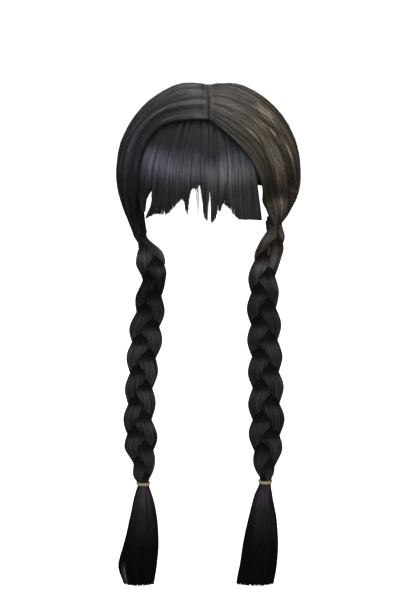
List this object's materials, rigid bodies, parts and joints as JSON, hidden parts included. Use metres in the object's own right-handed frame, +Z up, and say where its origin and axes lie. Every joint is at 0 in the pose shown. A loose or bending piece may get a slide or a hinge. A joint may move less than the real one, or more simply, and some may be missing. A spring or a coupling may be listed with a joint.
{
  "type": "plaited pigtail wig",
  "caption": "Black hair wig, parted down the middle, with a full blunt fringe and a long plait at each side tied with a small elastic above a loose end.",
  "frame": {"origin": "the point inside the cap that sits on the crown of the head", "axes": "+Z up, the wig faces -Y, +X to the wearer's left"},
  "size_m": [0.2001, 0.2145, 0.5633],
  "materials": {
    "cap_net": "matt knitted net",
    "crown_hair": "soft shine, fine long fibre",
    "fringe_hair": "soft shine, fine long fibre",
    "plait_hair": "soft shine, fine long fibre",
    "tail_hair": "soft shine, fine long fibre",
    "elastic": "satin, covered elastic"
  },
  "bodies": {
    "root": {"cap": "cap_net", "fringe": "fringe_hair", "swept_hair_left": "crown_hair", "swept_hair_right": "crown_hair", "plait_left_strand_1": "plait_hair", "plait_left_strand_2": "plait_hair", "plait_left_strand_3": "plait_hair", "plait_right_strand_1": "plait_hair", "plait_right_strand_2": "plait_hair", "plait_right_strand_3": "plait_hair", "elastic_left": "elastic", "elastic_right": "elastic", "tail_left": "tail_hair", "tail_right": "tail_hair"}
  },
  "joints": []
}
